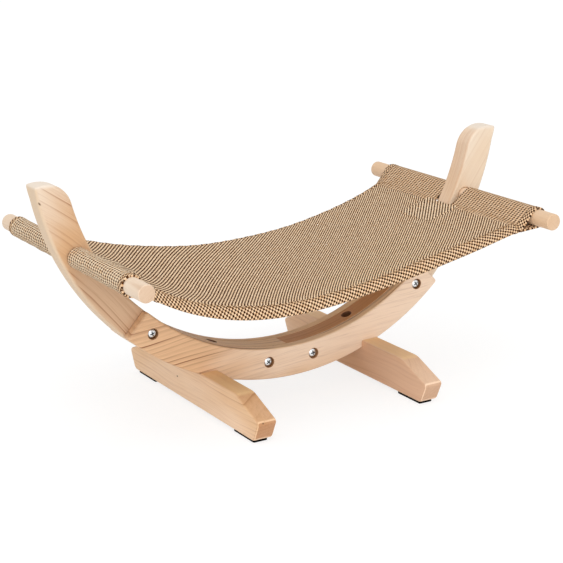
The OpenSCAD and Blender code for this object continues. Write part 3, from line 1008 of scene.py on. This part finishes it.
def pad_template():
    half_w = pad_size[0] / 2
    half_l = pad_size[1] / 2
    corners = [(-half_w, -half_l), (half_w, -half_l), (half_w, half_l), (-half_w, half_l)]
    loop = round_corners(corners, PAD_CORNER)
    mesh = eased_board("pad", [loop], 0, pad_size[2], lambda a, b, depth: (a, b, depth), (PAD_EASE,))
    tools = []
    for k in range(GROOVES):
        y = pad_size[1] * ((k + 0.5) / GROOVES - 0.5)
        groove = turned("groove", [(GROOVE_R, -pad_size[0]), (GROOVE_R, pad_size[0])], 12)
        groove.transform(Matrix.Translation((0, y, 0)) @ Matrix.Rotation(math.pi / 2, 4, "Y"))
        tools.append(link("groove", groove, pad_rubber))
    return carved(mesh, pad_rubber, *tools)


PADS = ("left_front_pad", "left_rear_pad", "right_front_pad", "right_rear_pad")
pad_points = [[(low + high) / 2 for low, high in zip(*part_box(name))][:2] + [0.0] for name in PADS]
pads = grow("foot_pads", ON_POINTS, seeds("foot_pads", pad_points, [(0, 0, 1)] * 4, [0.0] * 4),
            pad_template(), pad_rubber)
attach(pads, "stand")
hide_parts(*PADS)

# %% [markdown]
# ## The cloth's weave
# The sling is a coarse two-tone twill. Cream yarns run one way and brown ones the other, each passing
# over two and under two, and each row starts one yarn later, which draws the slanting ribs. The finish
# counts yarns on the cloth's own flat map, so the ribs bend with the hems and sleeves as the real ones
# do. A rule says which yarn is on top: slanting ribs on the bed and the facings, a check on the doubled
# hems, and rows of dots on the sleeves, which show the cloth's back. The yarns lie a little uneven, as
# they do in a loose weave. The right sleeves are browner in the photograph.

# %% Finish: two-tone twill
YARN = 1.2 * MM
SLEEVE_YARNS = (1.55 * MM, 1.4 * MM)
YARN_RISE = 0.6 * MM
YARN_GAP_SHADE = "2A170B"


def weave(name, brown_rule, yarns=(YARN, YARN), turn=0.0, lean=0.0, pales=("FFE2BE", "EABB8A"),
          browns=("623A1C", "281408")):
    """Cloth on the flat map; the rule says where the brown yarn is on top, from the two yarns' numbers."""
    f = Finish(name)
    flat = f.get("ShaderNodeUVMap", uv_map="cloth")
    u, v, _ = f.split(f.rotated(flat, (0, 0, math.radians(turn))))
    drift = f.noise(f.vector(u, v, 0.0), 70.0) - 0.5
    slack = f.noise(f.vector(u, v, 3.0), 380.0) - 0.5
    a = u / yarns[0] + drift * 0.8 + slack * 0.9
    b = v / yarns[1] + a * lean + drift * 0.6 - slack * 0.7
    i = a.floor()
    j = b.floor()
    across_a = (a - i) * 2 - 1
    across_b = (b - j) * 2 - 1
    brown_top = brown_rule(i, j)
    height = (1 - across_b * across_b) * brown_top + (1 - across_a * across_a) * (1 - brown_top)
    pale_tone = f.chance(f.vector(i, j, 0.7)) * 0.5 + f.noise(f.vector(a * 0.3, b * 2, 0.0), 0.9) * 0.6
    brown_tone = f.chance(f.vector(j, i, 0.2)) * 0.5 + f.noise(f.vector(a * 2, b * 0.3, 5.0), 0.9) * 0.4
    brown_tone = brown_tone + j % 2 * 0.25
    pale_yarn = f.mix(f.step(pale_tone, 0.45, 1.0), pales[0], pales[1])
    brown_yarn = f.mix(f.step(brown_tone, 0.35, 0.95), browns[0], browns[1])
    colour = f.mix(brown_top, pale_yarn, brown_yarn)
    # Painted shade where the yarns dip, deeper beside the brown yarns.
    low = 1 - f.step(height, 0.0, 0.45)
    colour = f.mix(low * (brown_top * 0.4 + 0.15), colour, YARN_GAP_SHADE)
    f.set(Base_Color=colour, Roughness=0.92, Specular_IOR_Level=0.08,
          Normal=f.relief(height, YARN_RISE, 0.6))
    return f.material


def twill(i, j):
    return ((i - j) % 4) < 1.5


def chequered(i, j):
    return ((i / 2).floor() + (j / 2).floor()) % 2 < 0.5


def dotted(i, j):
    row = i % 2 < 0.5
    dot = j % 4 < 1.5
    return row * (dot * 0.7 + 0.3) + (1 - row) * dot * 0.45


cloth_face = weave("twill_face", twill)
cloth_hem = weave("chequered_hem", chequered, (1.4 * MM, 1.3 * MM), lean=0.3, pales=("F8D6B0", "DAA874"),
                  browns=("5E381C", "221106"))
cloth_back = weave("twill_back", dotted, SLEEVE_YARNS, pales=("FFE8C8", "EAB986"),
                   browns=("5A3014", "241106"))
far_cloth_back = weave("twill_back_right", dotted, SLEEVE_YARNS, pales=("F6D3AE", "D9A671"),
                       browns=("4C2A12", "1C0E05"))
cloth_facing = weave("twill_facing", twill, (1.36 * MM, 1.36 * MM), turn=-5.5, pales=("FFE6C4", "EEC092"))


def thread():
    f = Finish("sewing_thread")
    wound = f.noise(f.place(), 2600.0)
    colour = f.mix(wound, "B48E63", "7E5A36")
    f.set(Base_Color=colour, Roughness=0.75, Normal=f.relief(wound, SKIN, 0.6))
    return f.material


sewing_thread = thread()
print("finishes:", cloth_face.name, cloth_hem.name, cloth_back.name, cloth_facing.name)

# %% [markdown]
# ## The sling's bed
# The bed hangs between two seams, sags in the middle, and rolls down along its front and rear edges,
# where it is hemmed. The roll eases towards the right bar. A cloth simulation would need the load that
# shaped it, so the sheet is built from the hanging curve itself, with the same sizes as the solid. Small
# puckers along the seams, hems and notches are added on top. The hem is the sheet's own edge folded back
# over itself, and its map runs on round the fold. The map is also drawn out at the left, where the cloth
# in the photograph is stretched and its ribs run at another slant.

# %% The hanging curve
CLOTH_W = 336 * MM
CLOTH_T = 2.0 * MM
SEAM_D = 28 * MM
SLEEVE_SLOPE = math.radians(15)
NOTCH_Y = arm_half + 7 * MM
NOTCH_CLEAR = 0.8 * MM
NOTCH_DROP = 5 * MM
TIGHT_NOTCH = (17.9 * MM, 19.1 * MM)
LOOSE_NOTCH = (NOTCH_Y - 2 * MM, NOTCH_Y + 4 * MM)
CLOTH_SKEW = 3.5 * MM
EDGE_SAG = 52 * MM
BELLY = 9 * MM
LOW_FRONT_X = -75 * MM
LOW_REAR_X = 6 * MM
HEM_L = 24 * MM
HEM_ROLL = math.radians(82)
FOLD_W = 17 * MM
ROLL_EASE = 0.5
ROLL_EASES = (0.65, 1.0)
HEM_LAYER = 1.4 * MM
FLAT_Y = CLOTH_W / 2 - HEM_L
SEAM_RIPPLE = 0.35 * MM
HEM_RIPPLE = 0.28 * MM
SLOW_RIPPLE = 0.55 * MM
NOTCH_RIPPLE = 0.8 * MM
seam_x = bar_x - SEAM_D * math.cos(SLEEVE_SLOPE)
seam_z = bar_z - SEAM_D * math.sin(SLEEVE_SLOPE)
notch_x = math.sqrt(BOW_INNER_R ** 2 - (bow_z - seam_z + NOTCH_DROP) ** 2) - NOTCH_CLEAR
print("seam at", round(seam_x, 4), round(seam_z, 4), "notch from", round(notch_x, 4))


def bed_height(x, v):
    """Height of the cloth's middle; its lowest line runs askew from the front hem to the rear one."""
    low_x = (LOW_FRONT_X + LOW_REAR_X) / 2 + (LOW_REAR_X - LOW_FRONT_X) * v / CLOTH_W
    share = low_x / seam_x
    t = x / seam_x
    sag = EDGE_SAG + BELLY * (1 - np.minimum(np.abs(v) / FLAT_Y, 1) ** 2)
    place = t - share / (1 - share * share) * (1 - t * t)
    return seam_z - sag * (1 - place ** 2)


def puckers(x, v):
    """Small ripples where the cloth is sewn, and slow ones over the bed."""
    from_seam = seam_x - np.abs(x)
    from_hem = CLOTH_W / 2 - FOLD_W - np.abs(v)
    side = np.sign(x)
    sewn = np.sin(v / (3.6 * MM) + side) + 0.7 * np.sin(v / (6.1 * MM) - side)
    sewn = np.exp(-from_seam / (17 * MM)) * sewn
    hem = np.exp(-np.abs(from_hem) / (9 * MM)) * np.sin(x / (3.1 * MM) + 2 * np.sin(x / (41 * MM)))
    slow = np.sin(x / (29 * MM) + v / (47 * MM)) * np.sin(v / (38 * MM) - x / (90 * MM) + 0.6)
    corner_x = np.abs(x) - notch_x
    corner_y = np.abs(v) - NOTCH_Y
    reach = np.sqrt(corner_x ** 2 + corner_y ** 2)
    drawn = np.exp(-reach / (30 * MM)) * np.sin(5 * np.arctan2(corner_y, corner_x + 1e-6))
    calm = smooth(from_seam, 0, 6 * MM)
    return HEM_RIPPLE * hem + (SEAM_RIPPLE * sewn + SLOW_RIPPLE * slow + NOTCH_RIPPLE * drawn) * calm


def bed_points(t, v, lift):
    """Points of the bed at shares t of its half length and flat distances v, lifted off its middle."""
    t, v, lift = np.broadcast_arrays(t, v, lift)
    pushed = v * np.sign(t) > 0
    ends = [np.where(pushed, tight, loose) for tight, loose in zip(TIGHT_NOTCH, LOOSE_NOTCH)]
    notch = 1 - smooth(np.abs(v), *ends)
    x = t * (seam_x + (notch_x - seam_x) * notch)
    over = np.maximum(np.abs(v) - FLAT_Y, 0)
    roll = HEM_ROLL * (1 - ROLL_EASE * smooth(t, *ROLL_EASES))
    turn = roll * over / HEM_L
    radius = HEM_L / roll
    lift = lift + puckers(x, v)
    y = np.minimum(np.abs(v), FLAT_Y) + radius * np.sin(turn) + lift * np.sin(turn)
    z = bed_height(x, v) - radius * (1 - np.cos(turn)) + lift * np.cos(turn)
    return np.stack([x, np.sign(v) * y - CLOTH_SKEW * t, z], -1)


def run_length(t, v):
    """Length along the cloth from its middle, at each share t and flat distance v."""
    points = bed_points(t[:, None], v[None, :], 0.0)
    run = np.linalg.norm(np.diff(points, axis=0), axis=2).cumsum(0)
    run = np.concatenate([np.zeros((1, len(v))), run])
    return run - run[len(t) // 2]


# %% A closed sheet from two grids
def cloth_shell(name, top, bottom, top_map, bottom_map, materials, in_hem=lambda i, j: False):
    """A thin closed shell, with its last finish in the hems; the maps give places on the flat cloth."""
    bm = bmesh.new()
    layer = bm.loops.layers.uv.new("cloth")
    rows, columns = top.shape[:2]
    upper = [[bm.verts.new(p) for p in row] for row in top]
    lower = [[bm.verts.new(p) for p in row] for row in bottom]
    hem = len(materials) - 1

    def face(corners, maps, material):
        made = bm.faces.new(corners)
        made.material_index = material
        for loop, place in zip(made.loops, maps):
            loop[layer].uv = place

    def patch(grid, places, around, material):
        face([grid[i][j] for i, j in around], [places[i, j] for i, j in around], material)

    def rim(near, far):
        edge = ((upper, top_map, near), (upper, top_map, far), (lower, bottom_map, far),
                (lower, bottom_map, near))
        face([grid[i][j] for grid, _, (i, j) in edge], [places[spot] for _, places, spot in edge], hem)

    for i in range(rows - 1):
        for j in range(columns - 1):
            around = ((i, j), (i + 1, j), (i + 1, j + 1), (i, j + 1))
            finish = hem if in_hem(i, j) else 0
            patch(upper, top_map, around, finish)
            patch(lower, bottom_map, around[::-1], finish)
    for i in range(rows - 1):
        rim((i, 0), (i + 1, 0))
        rim((i + 1, columns - 1), (i, columns - 1))
    for j in range(columns - 1):
        rim((0, j + 1), (0, j))
        rim((rows - 1, j), (rows - 1, j + 1))
    return link(name, finish_mesh(bm, name, 60), *materials)


# %% The bed with its folded hems
BED_STATIONS = 161
FOLD_STEPS = 5
HEM_STEPS = 5
FOLD_GAP = 0.5 * MM
DRAWN = 0.31
DRAWN_X = (-180 * MM, 120 * MM)
v_step = CLOTH_W / 2 - FOLD_W
fold_r = (CLOTH_T + HEM_LAYER) / 2
fold_v = CLOTH_W / 2 - fold_r
flat_v = np.union1d(np.linspace(0, v_step - FOLD_GAP, 48), np.linspace(*TIGHT_NOTCH, 4))
flat_count = len(flat_v)
hem_v = np.linspace(v_step + FOLD_GAP, fold_v, HEM_STEPS)
bend = np.linspace(0, math.pi / 2, FOLD_STEPS + 1)[1:]
half_v = np.concatenate([flat_v, flat_v[-1:], hem_v, fold_v + fold_r * np.sin(bend)])
half_top = np.concatenate([np.full(flat_count + 1, CLOTH_T / 2),
                           np.full(HEM_STEPS, CLOTH_T / 2 + HEM_LAYER),
                           HEM_LAYER / 2 + fold_r * np.cos(bend)])
half_bottom = np.concatenate([np.full(flat_count + 1 + HEM_STEPS, -CLOTH_T / 2),
                              HEM_LAYER / 2 - fold_r * np.cos(bend)])
half_map = np.where(np.arange(len(half_v)) >= flat_count, CLOTH_W - half_v, half_v)


def both_halves(half, sign=1):
    return np.concatenate([sign * half[:0:-1], half])


across = both_halves(half_v, -1)
stations = np.linspace(-1, 1, BED_STATIONS)
lengths = run_length(stations, across)
top_grid = bed_points(stations[:, None], across[None, :], both_halves(half_top)[None, :])
bottom_grid = bed_points(stations[:, None], across[None, :], both_halves(half_bottom)[None, :])
flat_part = both_halves(np.arange(len(half_v)) < flat_count)[None, :]
drawn = 1 - DRAWN * flat_part * (1 - smooth(top_grid[..., 0], *DRAWN_X))
top_map = np.stack([lengths, both_halves(half_map, -1) * drawn], -1)
bottom_map = np.stack([lengths, across * drawn], -1)
halfway = np.abs(across[:-1] + across[1:]) / 2
hem_columns = set(np.flatnonzero(halfway > v_step - FOLD_GAP))
bed = cloth_shell("sling_bed_cloth", top_grid, bottom_grid, top_map, bottom_map, [cloth_face, cloth_hem],
                  lambda i, j: j in hem_columns)
bed_length = float(lengths[-1].max() - lengths[0].min())
print("bed", len(bed.data.polygons), "faces, cloth between seams", round(bed_length, 4), "m")

# %% [markdown]
# ## Sleeves round the bars
# At each end the cloth passes under the bar, round its outside and back over the top, and is sewn down on
# the bed. The arm needs room, so a notch splits the sleeve in two. Each half is the path of the cloth
# seen from the front, worked out for many places along the bar, so that its ends follow the rolled hems.
# Its map carries on from the bed's. Two of the sleeves are pushed right up to the arm, and the other two
# stop short of it.

# %% Four sleeves
SLEEVE_PLAY = 0.4 * MM
FLAP = 10 * MM
LAYER_GAP = 0.15 * MM
SNUG = 1.0 * MM
SINK = 0.3 * MM
RING_POINTS = 44
RIM = np.array((0.0, 0.3, 0.9)) * MM
path_r = bar_r + SLEEVE_PLAY + CLOTH_T / 2


def tangent_angle(point, way):
    """Angle on the sleeve's circle where a straight run from a point meets it."""
    apart = np.array(point) - (bar_x, bar_z)
    return math.atan2(apart[1], apart[0]) % (2 * math.pi) + way * math.acos(path_r / np.linalg.norm(apart))


def flap_lift(inward):
    """How far the flap's middle lies above the bed's, from the seam to where it sinks in."""
    share = inward / FLAP
    return (CLOTH_T + LAYER_GAP) * (1 - share) - SINK * share


def sleeve_path(side, v):
    """Middle of the cloth round the bar at one flat distance v, from the seam below to the flap above."""
    to_right = np.array((side, 1, 1))
    loose = 0.25 * MM * math.sin(v / (5.3 * MM) + side) + 0.2 * MM * math.sin(v / (9.7 * MM))
    start = bed_points(side, v, 0.0) * to_right
    over = bed_points(side, v, CLOTH_T + LAYER_GAP) * to_right
    leave = tangent_angle(over[::2], -1) + 2 * math.pi
    turns = np.linspace(tangent_angle(start[::2], 1), leave, RING_POINTS)
    slack = path_r + loose * np.clip(-np.sin(turns), 0, 1)
    ring = np.stack([bar_x + slack * np.cos(turns), np.full(RING_POINTS, v - side * CLOTH_SKEW),
                     bar_z + slack * np.sin(turns)], 1)
    rise = np.linspace(0, 1, 7)[:-1, None]
    lower = start + (ring[0] - start) * rise
    upper = over + (ring[-1] - over) * rise[::-1]
    inward = np.linspace(0, FLAP, 6)[1:]
    flap = bed_points(side * (1 - inward / seam_x), v, flap_lift(inward)) * to_right
    return np.concatenate([lower, ring, upper, flap])


def sleeve(name, side, way, from_y, to_y):
    """A sleeve between two depths; its hem is at the front for way = -1 and at the rear for way = 1."""
    hem_end = from_y if way < 0 else to_y
    along = np.concatenate([from_y + RIM, np.linspace(from_y, to_y, 47)[1:-1], (to_y - RIM)[::-1]])
    thin = np.concatenate([(0.35, 0.75, 1.0), np.ones(45), (1.0, 0.75, 0.35)])
    outer = []
    inner = []
    maps = []
    for y, share in zip(along, thin):
        path = sleeve_path(side, y + side * CLOTH_SKEW)
        share = share + 0.5 * (1 - smooth(abs(y - hem_end), FOLD_W * 0.5, FOLD_W * 0.7))
        run = np.concatenate([[0], np.linalg.norm(np.diff(path, axis=0), axis=1).cumsum()])
        ahead = np.gradient(path, axis=0)
        ahead = ahead / np.linalg.norm(ahead[:, ::2], axis=1)[:, None]
        out = np.stack([ahead[:, 2], np.zeros(len(path)), -ahead[:, 0]], 1) * share * CLOTH_T / 2
        out[-2:] *= np.array((0.85, 0.4))[:, None]
        outer.append((path + out) * (side, 1, 1))
        inner.append((path - out) * (side, 1, 1))
        maps.append(np.stack([side * (bed_length / 2 + run), np.full(len(path), y)], 1))
    hem_rows = np.abs(along - hem_end) < FOLD_W * 0.7
    back = cloth_back if side < 0 else far_cloth_back
    maps = np.array(maps)
    return cloth_shell(name, np.array(outer), np.array(inner), maps, maps, [back, cloth_hem],
                       lambda i, j: hem_rows[i] and hem_rows[i + 1])


sleeves = {}
for side, side_name in ((-1, "left"), (1, "right")):
    for way, way_name in ((-1, "front"), (1, "rear")):
        node = side_name + "_" + way_name + "_sleeve"
        low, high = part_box(node)
        ends = [low[1], high[1]]
        if side == way:
            ends[way < 0] = way * (arm_half + SNUG)
        sleeves[node] = sleeve(node + "_cloth", side, way, *ends)
        print(node, len(sleeves[node].data.polygons), "faces")

# %% [markdown]
# ## Facings at the notches
# A patch of the same cloth, cut on another slant, is sewn over the raw edge of each notch. It lies on the
# bed, so it takes its points from the bed's own curve, a little higher.

# %% Two facings
FACING_L = 46 * MM
FACING_SIDE = 13 * MM
FACING_T = 1.5 * MM
FACING_GAP = 0.1 * MM
SEW_GAP = 0.3 * MM


def facing(name, side):
    """A patch with thin edges, from the notch's end towards the middle of the bed."""
    inside = np.linspace(RIM[-1], FACING_L - RIM[-1], 24)[1:-1]
    reach = np.concatenate([RIM, inside, (FACING_L - RIM)[::-1]])
    half = NOTCH_Y + FACING_SIDE
    span = np.concatenate([-half + RIM, np.linspace(-half, half, 42)[1:-1], (half - RIM)[::-1]])
    edge_x = np.minimum(reach, FACING_L - reach)
    edge_y = half - np.abs(span)
    edge = np.minimum(edge_x[:, None], edge_y[None, :])
    thick = FACING_T * (0.3 + 0.7 * np.clip(edge / RIM[-1], 0, 1))
    x = side * (notch_x - SEW_GAP - reach)[:, None]
    v = span[None, :]
    base = bed_height(x, v) + puckers(np.broadcast_to(x, edge.shape), np.broadcast_to(v, edge.shape))
    base = base + CLOTH_T / 2 + FACING_GAP
    x, v = np.broadcast_arrays(x, v)
    y = v - CLOTH_SKEW * x / seam_x
    top = np.stack([x, y, base + thick], -1)
    bottom = np.stack([x, y, base], -1)
    places = np.stack([x, v], -1)
    return cloth_shell(name, top, bottom, places, places, [cloth_facing])


facings = {}
for side, node in ((-1, "left_notch_facing"), (1, "right_notch_facing")):
    facings[node] = facing(node + "_cloth", side)
    print(node, len(facings[node].data.polygons), "faces")

# %% [markdown]
# ## Stitches
# One row of stitches runs along each hem and one across each sleeve's flap. The rows are lines on the
# cloth, and the tree sets a short arched thread along them at an even pitch.

# %% Rows of stitches
STITCH_PITCH = 4.2 * MM
STITCH_L = 3.2 * MM
THREAD_R = 0.42 * MM
FOLD_ROW = 2.5 * MM
FLAP_ROW = 3.5 * MM
ROW_ENDS = (3 * MM, 2 * MM)
THREAD_SIDES = 6


def stitch_template():
    """A short thread that rises from the cloth and dips back into it."""
    bm = bmesh.new()
    rows = []
    for share in np.linspace(-1, 1, 7):
        lift = 0.55 * THREAD_R * (1 - share * share) - 0.5 * THREAD_R * share ** 4
        thick = THREAD_R * (1 - 0.45 * share ** 4)
        angles = np.linspace(0, 2 * math.pi, THREAD_SIDES + 1)[:-1]
        rows.append([bm.verts.new((share * STITCH_L / 2, thick * math.cos(a), lift + thick * math.sin(a)))
                     for a in angles])
    join_rings(bm, rows)
    bm.faces.new(rows[0])
    bm.faces.new(rows[-1])
    return finish_mesh(bm, "stitch", 70)


def stitch_rows(name, rows):
    """Stitches along rows of points; each row comes with the directions that face away from the cloth."""
    points = np.concatenate([row for row, _ in rows])
    facing = np.concatenate([up for _, up in rows])
    lines = []
    start = 0
    for row, _ in rows:
        lines += [(start + k, start + k + 1) for k in range(len(row) - 1)]
        start += len(row)
    sewn = seeds(name, points, facing, lines=lines)
    return grow(name, ALONG_LINES, sewn, stitch_template(), sewing_thread, {"Pitch": STITCH_PITCH})


def on_cloth(t, v, lift):
    """A row of points on the bed, and which way the cloth faces there."""
    low = bed_points(t, v, lift)
    high = bed_points(t, v, lift + MM)
    return low, (high - low) / MM


row_t = np.linspace(-0.985, 0.985, 260)
row_v = np.full_like(row_t, v_step + FOLD_ROW)
hem_rows = [on_cloth(row_t, sign * row_v, CLOTH_T / 2 + HEM_LAYER) for sign in (-1, 1)]
flap_v = np.linspace(NOTCH_Y + ROW_ENDS[0], CLOTH_W / 2 - ROW_ENDS[1], 80)
flap_t = np.full_like(flap_v, 1 - FLAP_ROW / seam_x)
flap_top = flap_lift(FLAP_ROW) + CLOTH_T / 2
flap_rows = [on_cloth(side * flap_t, way * flap_v, flap_top) for side in (-1, 1) for way in (-1, 1)]
stitches = stitch_rows("sling_stitches", hem_rows + flap_rows)

# %% The sling's pieces on the stand
for node, piece in list(sleeves.items()) + list(facings.items()) + [("sling_bed", bed)]:
    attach(piece, "stand")
    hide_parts(node)
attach(stitches, "stand")

# %% [markdown]
# ## Floor and light
# The photograph has a white ground and soft even light with hardly any shadow. The floor and the world
# show plain white to the camera. The world's own light does most of the work. A large lamp at the upper
# left and a low one at the front shape the boards.

# %% A pale floor and soft lamps
WORLD_LIGHT = 0.85
FLOOR_GLOW = 0.70
GLOW_LEVEL = 1.12
FLOOR_HALF = 6
AIM = Vector((0, 0, 0.15))


def seen_directly(nodes):
    """1 where the eye, a mirror or a glass sees the surface, and 0 where it only gives light."""
    ray = nodes.node("ShaderNodeLightPath")
    kinds = [nodes.out(ray, f"Is {kind} Ray") for kind in ("Camera", "Glossy", "Transmission")]
    return kinds[0] + kinds[1] + kinds[2]


floor_finish = Finish("floor_white")
floor_finish.set(Base_Color=screen_colour("F4F4F4"), Roughness=0.9)
glow = floor_finish.get("ShaderNodeEmission", {"Color": (1, 1, 1, 1), "Strength": GLOW_LEVEL})
blend = floor_finish.get("ShaderNodeMixShader", {"Fac": seen_directly(floor_finish) * FLOOR_GLOW,
                                                 1: floor_finish.out(floor_finish.shader), 2: glow})
floor_finish.feed(floor_finish.end.inputs["Surface"], blend)

bm = bmesh.new()
bmesh.ops.create_grid(bm, x_segments=1, y_segments=1, size=FLOOR_HALF)
floor_mesh = bpy.data.meshes.new("floor")
bm.to_mesh(floor_mesh)
bm.free()
floor = link("floor", floor_mesh, floor_finish.material)

world = bpy.data.worlds.new("studio")
world.use_nodes = True
bpy.context.scene.world = world
sky = Nodes(world.node_tree)
level = seen_directly(sky) * (1 - WORLD_LIGHT) + WORLD_LIGHT
back = sky.get("ShaderNodeBackground", {"Color": (1, 1, 1, 1), "Strength": level})
sky.node("ShaderNodeOutputWorld", {"Surface": back})


def lamp(name, place, size, power):
    """A large soft lamp that faces the hammock."""
    data = bpy.data.lights.new(name, "AREA")
    data.size = size
    data.energy = power
    made = bpy.data.objects.new(name, data)
    made.location = place
    made.rotation_euler = (AIM - Vector(place)).to_track_quat("-Z", "Y").to_euler()
    bpy.context.collection.objects.link(made)


lamp("key_lamp", (-1.0, -1.2, 2.4), 1.5, 14)
lamp("front_lamp", (-0.7, -2.4, 0.5), 1.4, 15)
bpy.context.scene.view_settings.view_transform = "Standard"
print("lamps:", len(bpy.data.lights))
